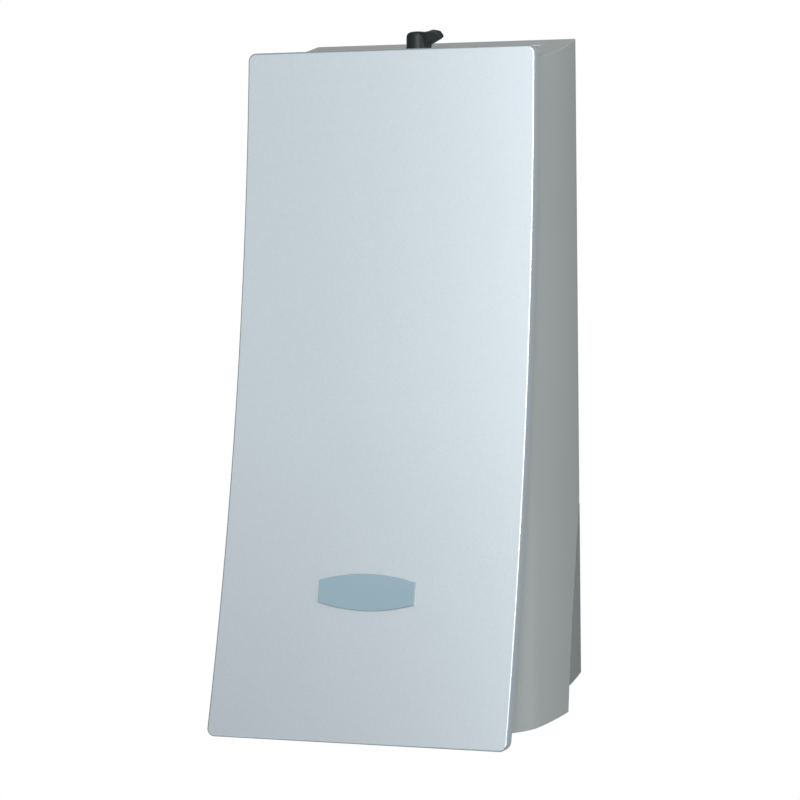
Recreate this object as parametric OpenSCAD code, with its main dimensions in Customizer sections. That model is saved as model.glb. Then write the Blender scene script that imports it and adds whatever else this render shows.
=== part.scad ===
// Wall mounted soap dispenser, in millimetres.
// X is to the viewer's right, the front faces -Y, Z is up and the wall is the plane y = 0.
// The origin is the centre of the wall plate's rear face, at the front panel's mid-height.

/* [Front panel] */
// height of the front panel
panel_h = 210; // [206:1:212]
// width of the front panel at its top edge
panel_top_w = 94.2; // [92:0.2:96]
// how much wider the panel is at its bottom edge
panel_flare = 2.5; // [0:0.5:4]
// thickness of the front panel
panel_t = 4; // [3.5:0.1:4.2]
// radius of the panel's outline corners
panel_corner_r = 2.5; // [1:0.5:6]
// width of the oval press mark
badge_w = 31.2; // [24:0.2:36]
// height of the press mark at its middle
badge_h = 10.9; // [8:0.1:14]
// how far the press mark stands out of the panel
badge_proud = 0.5; // [0.2:0.1:1]

/* [Housing] */
// wall thickness of the cover
cover_wall = 2.4; // [2:0.1:2.6]
// radius of the cover's bulged sides in plan
side_r = 290; // [260:10:340]
// width of the filling opening under the lid
fill_w = 72; // [60:2:72]
// wall thickness of the reservoir
tank_wall = 1.8; // [1.4:0.1:2.2]
// height of the reservoir's rim above the origin
tank_top = 93.5; // [80:0.5:93.5]

/* [Wall fixing] */
// distance between the wall screws across the plate
screw_x = 56; // [40:1:60]
// distance between the wall screws up the plate
screw_z = 140; // [100:2:150]
// diameter of the wall screw holes
screw_d = 4.5; // [3.5:0.1:5.5]

/* [Pump] */
// bore of the pump chamber
pump_bore = 13; // [11:0.2:13.4]
// diameter of the plunger stem
stem_d = 6; // [5:0.2:6.6]
// diameter of the inlet valve's ball
ball_d = 6; // [5.2:0.2:7]
// wire diameter of the return spring
spring_wire = 0.7; // [0.5:0.1:0.9]
// number of coils in the return spring
spring_turns = 5; // [3:1:5]

/* [Key] */
// diameter of the key's round head
key_d = 7.2; // [6:0.2:8]
// reach of the key's thumb wing from its axis
key_reach = 7.8; // [7:0.1:9]

/* [Hidden] */
$fn = 96;
big = 720;

// the panel's front face: one hollow arc about a line in front of the wall
face_r = 825.65;
face_y = -(face_r + 52.07);
face_z = 137.9;
panel_z0 = -panel_h / 2;
panel_z1 = panel_h / 2;
back_r = face_r + panel_t;
badge_z = -60.5;
badge_rise = 2.2;

// the line that the panel swings on
hinge_y = -40.5;
hinge_z = 90;
hinge_pin_r = 1.5;
arm_x = 31;
arm_t = 3;

// the cover's front follows the panel's back, swung in by this angle and kept clear of it
front_swing = 2.5;
front_gap = 0.8;
front_r = back_r + front_gap;
face_dy = face_y - hinge_y;
face_dz = face_z - hinge_z;
front_y = hinge_y + face_dy * cos(front_swing) - face_dz * sin(front_swing);
front_z = hinge_z + face_dy * sin(front_swing) + face_dz * cos(front_swing);

// the cover's plan: bulged sides and rounded front corners
side_y = -33;
side_x = 46.6;
side_tilt = 0.25;
corner_r = 28.2;
corner_y = -47;
corner_bite = 0.3;
corner_x = side_x - side_r + sqrt(pow(side_r - corner_r + corner_bite, 2) - pow(corner_y - side_y, 2));

// the cover's hollow top, its flat bottom and its rear edge
top_r = 400;
top_y = -94.7;
top_z = 498.8;
bottom_z = -103.7;
rear_r = 280;
rear_y = 256.6;
rear_z = -150;

// lid, its hinge and the filling opening
fill_front = -40.8;
fill_rear = -9.9;
lid_gap = 0.35;
lid_t = 2;
lid_seal_t = 0.8;
ledge_drop = lid_t + lid_seal_t + 0.3;
ledge_t = 1.5;
ledge_w = 3;
lid_pin_y = -12.5;
lid_pin_z = 105.2;
lid_pin_r = 1;
lid_barrel_r = 2;
run = 0.05;

// the hinge bearings' feet reach this far forward, just into the cover's front wall
lug_front = panel_t + cover_wall - 53;

// key and lock
key_y = -26;
key_z0 = 105.8;
key_top = 111.55;
key_stem_r = 2.5;
bush_r = 4.5;
bush_z0 = 97.3;
bush_z1 = 105.6;
cam_z0 = 95.2;
cam_z1 = 97;
cam_reach = 18.2;

// wall plate
plate_t = 2.5;
plate_top = 105.5;
plate_bottom = -93.8;
shadow_gap = 0.4;
inner_gap = 0.4;
tape_t = 0.8;

// reservoir
tank_x = 40;
tank_rear = -4.5;
tank_front_top = -35.5;
tank_front = -46;
tank_front_low = -51;
tank_floor = -60;
outlet_y = -33;
neck_r = 9;
neck_bore = 6.6;
neck_z = -68.5;

// pump, lying front to back under the reservoir
pump_z = -80;
pump_r0 = pump_bore / 2;
pump_r1 = 8.6;
pump_front = -53;
pump_rear = -26;
pump_end = -28;
inlet_r0 = 4;
inlet_r1 = 6;
inlet_top = -62;
seat_z = -64.4;
port_r = 2;
ball_r = ball_d / 2;
ball_floor = -71.2;
ball_z = ball_floor + sqrt(ball_r * ball_r - port_r * port_r) + 0.05;
cap_r = 10.6;
cap_front = -58.7;
cap_rear = -46.5;
cap_seat = -54.5;
stem_r = stem_d / 2;
head_r = 9;
head_y0 = -69;
head_y1 = -66;
piston_y0 = -52.3;
piston_y1 = -47.5;
ring_y0 = -50.8;
ring_y1 = -49;

// spout under the pump
duct_z = -95.3;
duct_r = 3.6;
duct_bore = 1.6;
nozzle_y = -52;
nozzle_r = 4.2;
nozzle_z = -101.5;

// boss behind the panel that presses the plunger
boss_z = -80;
boss_w = 22;
boss_h = 14;
boss_y = -71.2;
pad_y = -69.3;
pad_r = 8;
pad_dome = 25;

// rubber stops and the screws that hold the cover
stop_x = 22;
stop_z = -96;
stop_r = 3.2;
stop_proud = 1.25;
stop_depth = 1;
tab_x = 36.5;
tab_y = -23;
tab_z = -93;
tab_t = 2.4;

// a 2-D shape drawn in (y, z), made w wide about x = 0
module along_x(w) {
  rotate([90, 0, 90]) linear_extrude(w, center = true) children();
}

// a 2-D shape drawn in (x, z), running from y0 to y1
module along_y(y0, y1) {
  translate([0, y1, 0]) rotate([90, 0, 0]) linear_extrude(y1 - y0) children();
}

// round bar along X, centred on x
module bar_x(x, y, z, r, w) {
  translate([x, y, z]) rotate([0, 90, 0]) cylinder(r = r, h = w, center = true);
}

// round bar along Y from y0 to y1
module bar_y(x, z, r, y0, y1) {
  translate([x, y0, z]) rotate([-90, 0, 0]) cylinder(r = r, h = y1 - y0);
}

// round bar along Z from z0 to z1
module bar_z(x, y, r, z0, z1) {
  translate([x, y, z0]) cylinder(r = r, h = z1 - z0);
}

// block between two corners
module block(a, b) {
  translate(a) cube(b - a);
}

// points of a rounded corner about c, turning from angle a0 to a1
function corner(c, r, a0, a1) = [
  for (i = [0:6]) c + r * [cos(a0 + (a1 - a0) * i / 6), sin(a0 + (a1 - a0) * i / 6)]
];

// rounded outline between two heights, with its own half-width at each
function outline(w0, w1, z0, z1, r) = concat(
  corner([w1 - r, z1 - r], r, 0, 90), corner([r - w1, z1 - r], r, 90, 180),
  corner([r - w0, z0 + r], r, 180, 270), corner([w0 - r, z0 + r], r, 270, 360));

// region between two radii about the panel's arc
module face_band(r0, r1, w) {
  along_x(w) difference() {
    translate([face_y, face_z]) circle(r1, $fn = big);
    translate([face_y, face_z]) circle(r0, $fn = big);
  }
}

// region between two depths below the hollow top
module top_band(d0, d1, w) {
  along_x(w) difference() {
    translate([top_y, top_z]) circle(top_r + d1, $fn = big);
    translate([top_y, top_z]) circle(top_r + d0, $fn = big);
  }
}

// one side's half of the plan, its walls moved in by inset
module half_plan(inset) {
  intersection() {
    translate([side_x - side_r, side_y]) circle(side_r - inset, $fn = big);
    union() {
      translate([-120, corner_y]) square([240, 100]);
      translate([-120, corner_y - corner_r + inset]) square([120 + corner_x, 100]);
      translate([corner_x, corner_y]) circle(corner_r - inset, $fn = 180);
    }
  }
}

// the plan carried up the height, leaning in a little towards the top
module plan_form(inset) {
  intersection() {
    rotate([0, -side_tilt, 0]) linear_extrude(260, center = true) half_plan(inset);
    mirror([1, 0, 0]) rotate([0, -side_tilt, 0]) linear_extrude(260, center = true) half_plan(inset);
  }
}

// side view of the cover, its front and top moved in by inset
module side_view(inset, rear, bottom) {
  difference() {
    translate([-90, bottom]) square([90 + rear, 220]);
    translate([front_y, front_z]) circle(front_r + inset, $fn = big);
    translate([top_y, top_z]) circle(top_r + inset, $fn = big);
  }
}

module cover_form(inset, rear, bottom) {
  intersection() {
    plan_form(inset);
    along_x(120) side_view(inset, rear, bottom);
  }
}

module cover() {
  color([0.6, 0.62, 0.62]) difference() {
    union() {
      difference() {
        cover_form(0, 0, bottom_z);
        cover_form(cover_wall, 20, bottom_z - 10);
        block([-fill_w / 2, fill_front, 96], [fill_w / 2, fill_rear, 125]);
      }
      cover_ledge();
      for (s = [-1, 1]) {
        cover_lugs(s);
        cover_tab(s);
        block([s * 38 - 3.6, -6.6, 99.7], [s * 38 + 3.6, -3.2, 107.4]);
      }
    }
    along_x(130) translate([rear_y, rear_z]) circle(rear_r, $fn = big);
    bar_x(0, lid_pin_y, lid_pin_z, lid_pin_r + run, 81);
    bar_x(0, hinge_y, hinge_z, hinge_pin_r + run, 90);
    for (s = [-1, 1]) {
      translate([s * arm_x, 0, 0]) block([-2.2, -55, 84], [2.2, -44.5, 96]);
      bar_z(s * tab_x, tab_y, 1.8, tab_z - 10, tab_z + 1);
      stop_disc(s, -10, stop_depth);
    }
    block([-14, -80, -91], [14, -58, -70.2]);
  }
}

// round stop in the cover's front, between two depths measured inwards from its face
module stop_disc(s, d0, d1) {
  intersection() {
    bar_y(s * stop_x, stop_z, stop_r, -100, -55);
    along_x(60) difference() {
      translate([front_y, front_z]) circle(front_r + d1, $fn = big);
      translate([front_y, front_z]) circle(front_r + d0, $fn = big);
    }
  }
}

// shelf that the lid rests on, at both sides and the front
module cover_ledge() {
  difference() {
    intersection() {
      top_band(cover_wall - 0.1, ledge_drop + ledge_t, 84.4);
      block([-60, -44.4, 90], [60, -16, 125]);
    }
    intersection() {
      top_band(-20, ledge_drop, fill_w);
      block([-60, fill_front, 90], [60, -10, 125]);
    }
    block([ledge_w - fill_w / 2, fill_front + ledge_w, 90], [fill_w / 2 - ledge_w, -10, 125]);
  }
}

// bearings for the lid pin and the panel's hinge pin
module cover_lugs(s) {
  bar_x(s * 39.3, lid_pin_y, lid_pin_z, 1.95, 5.6);
  for (x = [26.4, 35.6]) {
    bar_x(s * x, hinge_y, hinge_z, 3.2, 3.4);
    translate([s * x, 0, 0]) block([-1.7, lug_front, hinge_z - 3], [1.7, hinge_y, hinge_z + 3]);
  }
}

// lug with a screw hole inside the cover's lower edge
module cover_tab(s) {
  translate([s * (tab_x + 1.5), tab_y, 0]) block([-7.5, -4.5, tab_z - tab_t], [7.5, 4.5, tab_z]);
}

module cover_screws() {
  color([0.75, 0.76, 0.78]) for (s = [-1, 1]) {
    difference() {
      union() {
        bar_z(s * tab_x, tab_y, 1.5, -95.6, -84.5);
        bar_z(s * tab_x, tab_y, 3, -97.4, -95.4);
      }
      translate([s * tab_x, tab_y, -97.4]) cube([0.8, 4, 1.6], center = true);
      translate([s * tab_x, tab_y, -97.4]) cube([4, 0.8, 1.6], center = true);
    }
  }
}

// side view of the lower edge that shows between the cover and the wall
module skirt_view() {
  intersection() {
    translate([rear_y, rear_z]) circle(rear_r - shadow_gap, $fn = big);
    polygon([[0, plate_bottom], [-20, plate_bottom - 1.9], [-20, -20], [0, -20]]);
  }
}

module wall_plate() {
  color([0.45, 0.47, 0.48]) difference() {
    union() {
      intersection() {
        plan_form(cover_wall + inner_gap);
        block([-60, -plate_t, plate_bottom + 1], [60, 0, plate_top]);
      }
      difference() {
        intersection() {
          plan_form(0);
          along_x(120) skirt_view();
        }
        intersection() {
          plan_form(cover_wall + 0.1);
          block([-60, -30, plate_bottom + 2.4], [60, -plate_t, 0]);
        }
      }
      for (s = [-1, 1]) {
        translate([s * 24, 0, 0]) block([-2, -44, -66], [2, -1, tank_floor - 0.2]);
        translate([s * 24, 0, 0]) block([-2, -16, -80], [2, -1, -65]);
        block([s * tab_x - 4.5, tab_y - 4.4, tab_z + 0.3], [s * tab_x + 4.5, -1, -84]);
        block([s * 38 - 3, -8.4, 97], [s * 38 + 3, -1, 99.4]);
        block([s * 38 - 3, -8.4, 97], [s * 38 + 3, -7, 102]);
      }
      block([-6, pump_rear + 0.3, -86], [6, -1, -75]);
    }
    for (s = [-1, 1]) {
      for (t = [-1, 1]) {
        bar_y(s * screw_x / 2, t * screw_z / 2, screw_d / 2, -5, 1);
      }
      bar_z(s * tab_x, tab_y, 1.5, -95, -84.5);
      block([s * 34 - 5, -tape_t, -55], [s * 34 + 5, 1, 55]);
    }
  }
}

module tape_strips() {
  color([0.9, 0.9, 0.86]) for (s = [-1, 1]) {
    block([s * 34 - 4.8, -tape_t, -54.8], [s * 34 + 4.8, 0, 54.8]);
  }
}

// side view of the reservoir, moved in by inset
module tank_view(inset, top) {
  polygon([[tank_rear - inset, tank_floor + inset * 1.2], [tank_front_low + inset, tank_floor + inset * 1.2],
    [tank_front_low + inset, -20], [tank_front + inset, 56], [tank_front_top + inset, 70],
    [tank_front_top + inset, top], [tank_rear - inset, top]]);
}

module tank_plan(inset) {
  w = tank_x - inset;
  linear_extrude(260, center = true)
    polygon(outline(w, w, tank_front_low + inset, tank_rear - inset, 6 - inset));
}

module reservoir() {
  color([0.86, 0.9, 0.92, 0.6]) difference() {
    union() {
      intersection() {
        tank_plan(0);
        along_x(100) tank_view(0, tank_top);
      }
      bar_z(0, outlet_y, neck_r, neck_z, tank_floor + 1);
    }
    intersection() {
      tank_plan(tank_wall);
      along_x(100) tank_view(tank_wall, tank_top + 10);
    }
    bar_z(0, outlet_y, neck_bore, neck_z - 1, tank_floor);
    bar_z(0, outlet_y, inlet_r0, tank_floor - 1, tank_floor + 5);
  }
}

module neck_gasket() {
  color([0.15, 0.15, 0.16]) difference() {
    bar_z(0, outlet_y, neck_bore - 0.1, inlet_top, tank_floor);
    bar_z(0, outlet_y, inlet_r0, inlet_top - 1, tank_floor + 1);
  }
}

module pump_body() {
  color([0.88, 0.9, 0.9]) difference() {
    union() {
      bar_y(0, pump_z, pump_r1, pump_front, pump_rear);
      bar_z(0, outlet_y, inlet_r1, pump_z, inlet_top);
      bar_z(0, outlet_y, 4.6, -91.3, pump_z);
    }
    bar_y(0, pump_z, pump_r0, pump_front - 1, pump_end);
    bar_z(0, outlet_y, inlet_r0, ball_floor, inlet_top + 1);
    bar_z(0, outlet_y, port_r, -93, ball_floor + 1);
    block([-3.8, outlet_y - 0.8, pump_z], [3.8, outlet_y + 0.8, ball_floor + 1]);
  }
}

module pump_cap() {
  color([0.8, 0.82, 0.84]) difference() {
    bar_y(0, pump_z, cap_r, cap_front, cap_rear);
    bar_y(0, pump_z, pump_r1, pump_front, cap_rear + 1);
    bar_y(0, pump_z, stem_r + run, cap_front - 1, cap_rear);
    difference() {
      bar_y(0, pump_z, 7.4, cap_front - 1, cap_seat);
      bar_y(0, pump_z, stem_r + 1.2, cap_front - 2, cap_seat + 1);
    }
    for (i = [0:23]) {
      translate([0, 0, pump_z]) rotate([0, i * 15, 0]) bar_y(cap_r + 0.25, 0, 0.6, cap_front - 1, cap_rear + 1);
    }
  }
}

module inlet_seat() {
  color([0.2, 0.2, 0.22]) difference() {
    bar_z(0, outlet_y, inlet_r0, seat_z, inlet_top);
    bar_z(0, outlet_y, port_r, seat_z - 1, inlet_top + 1);
  }
}

module inlet_ball() {
  color([0.82, 0.83, 0.85]) translate([0, outlet_y, ball_z]) sphere(ball_r);
}

module plunger() {
  color([0.9, 0.91, 0.92]) difference() {
    union() {
      bar_y(0, pump_z, stem_r, head_y1, piston_y1 + 0.8);
      bar_y(0, pump_z, head_r, head_y0, head_y1);
    }
    difference() {
      bar_y(0, pump_z, 8, head_y1 - 1, head_y1 + 1);
      bar_y(0, pump_z, 7.4, head_y1 - 2, head_y1 + 2);
    }
  }
}

module piston() {
  color([0.3, 0.32, 0.35]) difference() {
    bar_y(0, pump_z, pump_r0 - 0.25, piston_y0, piston_y1);
    bar_y(0, pump_z, stem_r, piston_y0 - 1, piston_y1 + 1);
    difference() {
      bar_y(0, pump_z, pump_r0, ring_y0, ring_y1);
      bar_y(0, pump_z, pump_r0 - 1.7, ring_y0 - 1, ring_y1 + 1);
    }
  }
}

module piston_ring() {
  color([0.1, 0.1, 0.1]) difference() {
    bar_y(0, pump_z, pump_r0 - run, ring_y0 + 0.1, ring_y1 - 0.1);
    bar_y(0, pump_z, pump_r0 - 1.7, ring_y0 - 1, ring_y1 + 1);
  }
}

// coil of short round pieces, one after another along a helix
module return_spring() {
  r = 5.9;
  y0 = head_y1 + spring_wire / 2 + 0.05;
  y1 = cap_seat - spring_wire / 2 - 0.05;
  n = 12 * spring_turns;
  pts = [for (i = [0:n]) [r * cos(i * 30), y0 + (y1 - y0) * i / n, r * sin(i * 30)]];
  color([0.78, 0.79, 0.8]) translate([0, 0, pump_z]) for (i = [0:n - 1]) hull() {
    translate(pts[i]) sphere(spring_wire / 2, $fn = 8);
    translate(pts[i + 1]) sphere(spring_wire / 2, $fn = 8);
  }
}

module spout() {
  color([0.84, 0.86, 0.87]) difference() {
    union() {
      bar_z(0, outlet_y, 6, duct_z - duct_r - 0.5, -88);
      bar_y(0, duct_z, duct_r, nozzle_y, outlet_y);
      bar_z(0, nozzle_y, nozzle_r, nozzle_z, duct_z + duct_r + 0.3);
    }
    bar_y(0, pump_z, pump_r1, -60, -10);
    bar_z(0, outlet_y, 4.6, -91.3, -80);
    bar_z(0, outlet_y, port_r, duct_z - 1.8, -80);
    bar_y(0, duct_z, duct_bore, nozzle_y, outlet_y);
    bar_z(0, nozzle_y, port_r, -102, duct_z + 1.8);
    bar_z(0, nozzle_y, 3.2, -102, -99.6);
  }
}

module outlet_valve() {
  color([0.2, 0.2, 0.22]) difference() {
    union() {
      bar_z(0, nozzle_y, 3.2, -101.2, -99.6);
      intersection() {
        bar_z(0, nozzle_y, 2.5, -103.2, -101);
        along_x(8) polygon([[nozzle_y - 2.5, -101], [nozzle_y - 0.5, -103.2], [nozzle_y + 0.5, -103.2],
          [nozzle_y + 2.5, -101]]);
      }
    }
    bar_z(0, nozzle_y, 1.6, -101.4, -99);
    block([-1.9, nozzle_y - 0.15, -104], [1.9, nozzle_y + 0.15, -101]);
  }
}

// the press mark's outline: straight ends, arched top and bottom
module badge_view(grow) {
  half = badge_w / 2;
  r = (half * half + badge_rise * badge_rise) / (2 * badge_rise);
  intersection() {
    translate([0, badge_z + badge_h / 2 - r]) circle(r + grow, $fn = big);
    translate([0, badge_z - badge_h / 2 + r]) circle(r + grow, $fn = big);
    translate([-half - grow, badge_z - 20]) square([badge_w + 2 * grow, 40]);
  }
}

module front_panel() {
  color([0.8, 0.84, 0.87]) difference() {
    intersection() {
      face_band(face_r, back_r, 120);
      along_y(-110, -40)
        polygon(outline((panel_top_w + panel_flare) / 2, panel_top_w / 2, panel_z0, panel_z1, panel_corner_r));
    }
    intersection() {
      face_band(face_r - 5, face_r + 1, 60);
      along_y(-110, -40) badge_view(0.1);
    }
    for (s = [-1, 1]) bracket_base(s, 0.1);
    boss_base(0.1);
  }
}

module badge() {
  color([0.58, 0.68, 0.73]) intersection() {
    face_band(face_r - badge_proud, face_r + 1, 60);
    along_y(-110, -40) badge_view(0);
  }
}

// foot of a hinge bracket, let into the panel's back
module bracket_base(s, grow) {
  intersection() {
    face_band(back_r - 1.5, back_r, 120);
    translate([s * arm_x, 0, 0])
      block([-8 - grow, -60, hinge_z - 8 - grow], [8 + grow, -40, hinge_z + 8 + grow]);
  }
}

module hinge_brackets() {
  color([0.35, 0.37, 0.39]) for (s = [-1, 1]) {
    bracket_base(s, 0);
    difference() {
      translate([s * arm_x, 0, 0]) along_x(arm_t) {
        translate([hinge_y, hinge_z]) circle(3.4);
        polygon([[back_y(hinge_z) - 0.5, 86], [back_y(hinge_z) - 0.5, 94], [hinge_y, 93.2], [hinge_y, 86.8]]);
        polygon([[-43.7, 89], [-37.3, 89], [-39.5, 76.5], [-45.1, 76.5]]);
      }
      bar_x(0, hinge_y, hinge_z, hinge_pin_r, 90);
    }
  }
}

// how far out the panel's back is at a height
function back_y(z) = face_y + sqrt(back_r * back_r - (z - face_z) * (z - face_z));

module hinge_pin() {
  color([0.78, 0.79, 0.8]) bar_x(0, hinge_y, hinge_z, hinge_pin_r, 77);
}

// foot of the press boss, let into the panel's back
module boss_base(grow) {
  intersection() {
    face_band(back_r - 1.5, back_r, 60);
    block([-17 - grow, -100, boss_z - 12 - grow], [17 + grow, -60, boss_z + 12 + grow]);
  }
}

module press_boss() {
  color([0.35, 0.37, 0.39]) {
    boss_base(0);
    difference() {
      block([-boss_w / 2, -79, boss_z - boss_h / 2], [boss_w / 2, boss_y, boss_z + boss_h / 2]);
      face_band(back_r - 40, back_r - 0.5, 60);
      for (s = [-1, 1]) {
        translate([s * boss_w / 2, 0, 0]) block([-2.5, -76, -90], [2.5, boss_y + 1, -70]);
      }
    }
  }
}

module boss_pad() {
  color([0.2, 0.2, 0.22]) intersection() {
    bar_y(0, boss_z, pad_r, boss_y, pad_y);
    translate([0, pad_y - pad_dome, boss_z]) sphere(pad_dome, $fn = 180);
  }
}

module lid() {
  color([0.63, 0.65, 0.66]) difference() {
    union() {
      intersection() {
        top_band(0, lid_t, fill_w - 2 * lid_gap);
        block([-60, fill_front + lid_gap, 95], [60, lid_pin_y, 125]);
      }
      bar_x(0, lid_pin_y, lid_pin_z, lid_barrel_r, fill_w - 2 * lid_gap);
      intersection() {
        top_band(lid_t - 0.2, lid_t + 2.5, fill_w - 8 * lid_gap - 8);
        for (x = [-20, 0, 20]) {
          block([x - 1, fill_front + ledge_w + (x == 0 ? 18.5 : 0.6), 95], [x + 1, -14.5, 125]);
        }
      }
    }
    bar_x(0, lid_pin_y, lid_pin_z, lid_pin_r, fill_w + 2);
    bar_z(0, key_y, bush_r, 90, 120);
  }
}

module lid_gasket() {
  color([0.12, 0.12, 0.13]) difference() {
    intersection() {
      top_band(lid_t, lid_t + lid_seal_t, fill_w - 2 * lid_gap - 0.6);
      block([-60, fill_front + lid_gap + 0.3, 95], [60, -16, 125]);
    }
    block([2.6 - fill_w / 2, fill_front + 2.6, 90], [fill_w / 2 - 2.6, -10, 125]);
  }
}

module lid_pin() {
  color([0.78, 0.79, 0.8]) bar_x(0, lid_pin_y, lid_pin_z, lid_pin_r, 78);
}

module lock_bush() {
  color([0.16, 0.17, 0.17]) difference() {
    union() {
      bar_z(0, key_y, bush_r, bush_z0, bush_z1);
      translate([0, key_y, bush_z0]) cylinder(r = 6.2, h = 2, $fn = 6);
    }
    bar_z(0, key_y, key_stem_r + run, bush_z0 - 1, bush_z1 + 1);
  }
}

// the thumb wing seen from the front: a dip behind the head, a raised tip and a sloping underside
module wing_view() {
  polygon([[0, 107.9], [3.7, 107.9], [key_reach - 2.1, 108.7], [key_reach - 0.5, 109.4],
    [key_reach, 110.2], [key_reach - 0.3, 110.8], [key_reach - 2.1, 111.75], [key_reach - 2.8, 112.1],
    [3.8, 111.75], [2.6, 111.4], [0, 111.3]]);
}

module key() {
  color([0.12, 0.14, 0.14]) translate([0, key_y, 0]) {
    bar_z(0, 0, key_stem_r, cam_z0, key_z0 + 1);
    difference() {
      bar_z(0, 0, key_d / 2, key_z0, key_top);
      translate([0, 0, key_top]) rotate_extrude() translate([key_d / 2, 0]) rotate(45) square(1.4, center = true);
    }
    intersection() {
      along_y(-4, 4) wing_view();
      along_x(30) polygon([[-2.3, 107], [2.3, 107], [3.3, 113], [-3.3, 113]]);
      linear_extrude(120) polygon([[0, -3.3], [5, -3], [key_reach, -1.7], [key_reach, 1.7], [5, 3], [0, 3.3]]);
    }
  }
}

module lock_cam() {
  color([0.7, 0.71, 0.72]) translate([0, key_y, 0]) difference() {
    union() {
      bar_z(0, 0, 4.6, cam_z0, cam_z1);
      block([0, -3.5, cam_z0], [cam_reach - 3.5, 3.5, cam_z1]);
      bar_z(cam_reach - 3.5, 0, 3.5, cam_z0, cam_z1);
    }
    bar_z(0, 0, key_stem_r, cam_z0 - 1, cam_z1 + 1);
  }
}

module cam_screw() {
  color([0.75, 0.76, 0.78]) translate([0, key_y, 0]) difference() {
    bar_z(0, 0, 3.4, 93.9, cam_z0);
    translate([0, 0, 93.9]) cube([0.8, 4, 1.4], center = true);
    translate([0, 0, 93.9]) cube([4, 0.8, 1.4], center = true);
  }
}

module bumpers() {
  color([0.16, 0.16, 0.17]) for (s = [-1, 1]) {
    stop_disc(s, -stop_proud, stop_depth);
  }
}

wall_plate();
tape_strips();
cover();
cover_screws();
reservoir();
neck_gasket();
pump_body();
pump_cap();
inlet_seat();
inlet_ball();
plunger();
piston();
piston_ring();
return_spring();
spout();
outlet_valve();
front_panel();
badge();
hinge_brackets();
hinge_pin();
press_boss();
boss_pad();
lid();
lid_gasket();
lid_pin();
lock_bush();
key();
lock_cam();
cam_screw();
bumpers();
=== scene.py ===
"""Looks of the wall mounted soap dispenser. Lengths are written in millimetres and scaled once."""
import math

import bmesh
import bpy
from mathutils import Matrix, Vector


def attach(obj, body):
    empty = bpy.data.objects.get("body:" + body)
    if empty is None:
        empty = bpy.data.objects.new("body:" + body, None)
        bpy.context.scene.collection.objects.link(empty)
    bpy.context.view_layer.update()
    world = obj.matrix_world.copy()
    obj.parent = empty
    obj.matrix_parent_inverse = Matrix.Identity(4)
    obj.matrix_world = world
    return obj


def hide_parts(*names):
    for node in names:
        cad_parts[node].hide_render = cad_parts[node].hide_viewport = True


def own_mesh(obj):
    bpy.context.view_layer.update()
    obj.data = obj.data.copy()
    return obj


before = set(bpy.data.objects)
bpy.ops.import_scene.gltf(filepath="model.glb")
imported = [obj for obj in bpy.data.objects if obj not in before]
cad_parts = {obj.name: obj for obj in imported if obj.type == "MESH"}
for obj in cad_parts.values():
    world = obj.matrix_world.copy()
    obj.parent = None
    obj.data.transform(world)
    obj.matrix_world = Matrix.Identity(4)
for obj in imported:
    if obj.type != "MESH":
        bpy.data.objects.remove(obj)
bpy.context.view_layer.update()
MM = 0.001

# ---------------------------------------------------------------- sizes shared with the CAD part
FACE_R, PANEL_T = 825.65, 4.0
FACE_Y, FACE_Z = -(FACE_R + 52.07), 137.9
BACK_R = FACE_R + PANEL_T
PANEL_Z0, PANEL_Z1 = -105.0, 105.0
PANEL_W0, PANEL_W1, PANEL_CORNER = 48.35, 47.1, 2.5
HINGE_Y, HINGE_Z, ARM_X = -40.5, 90.0, 31.0
SWING = math.radians(2.5)
FRONT_R = BACK_R + 0.8
FRONT_Y = HINGE_Y + (FACE_Y - HINGE_Y) * math.cos(SWING) - (FACE_Z - HINGE_Z) * math.sin(SWING)
FRONT_Z = HINGE_Z + (FACE_Y - HINGE_Y) * math.sin(SWING) + (FACE_Z - HINGE_Z) * math.cos(SWING)
SIDE_R, SIDE_X, SIDE_Y = 290.0, 46.6, -33.0
LEAN = math.tan(math.radians(0.25))
CORNER_R, CORNER_Y = 28.2, -47.0
BLEND = 0.55
CORNER_X = SIDE_X - SIDE_R + math.sqrt((SIDE_R - CORNER_R + 0.3) ** 2 - (CORNER_Y - SIDE_Y) ** 2)
TOP_R, TOP_Y, TOP_Z = 400.0, -94.7, 498.8
BOTTOM_Z = -103.7
REAR_R, REAR_Y, REAR_Z = 280.0, 256.6, -150.0
WALL = 2.4
KEY_Y = -26.0
PUMP_Z = -80.0
BADGE_Z, BADGE_W, BADGE_H, BADGE_RISE, BADGE_PROUD = -60.5, 31.2, 10.9, 2.2, 0.5
LID_PIN_Y, LID_PIN_Z = -12.5, 105.2
# pockets in the panel's back, half their width and height: for a bracket's foot, and for the press boss
BRACKET_POCKET, BOSS_POCKET, POCKET_DEPTH = (8.1, 8.1), (17.1, 12.1), 1.5
# openings in the cover, right half: for the press boss, for a hinge bracket's arm, and for the lid
BOSS_HOLE_X, BOSS_HOLE_Z0, BOSS_HOLE_Z1 = 14.0, -91.0, -70.2
ARM_HOLE_X0, ARM_HOLE_X1, ARM_HOLE_Z0, ARM_HOLE_Z1 = 28.8, 33.2, 84.0, 96.0
LID_HOLE_X, LID_HOLE_Y0, LID_HOLE_Y1 = 36.0, -40.8, -9.9
# round rubber stops in the cover's front
STOP_X, STOP_Z, STOP_R, STOP_SEAT = 22.0, -96.0, 3.2, 1.0
# bearings inside the cover, and the tabs that its two screws pass
LID_BEARING_X, ARM_BEARING_X = 39.3, (26.4, 35.6)
TAB_X, SCREW_X, SCREW_Y, SCREW_R = 38.0, 36.5, -23.0, 1.8
# shares of the cover's full rounding: at an opening's outer and inner edge, and along the bottom rim
HOLE_EDGE, HOLE_INNER_EDGE, BOTTOM_EDGE = 0.25, 0.3, 0.4


def arc_y(z, r, cy, cz):
    """Depth of a hollow arc about (cy, cz) at a height."""
    return cy + math.sqrt(r * r - (z - cz) ** 2)


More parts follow.
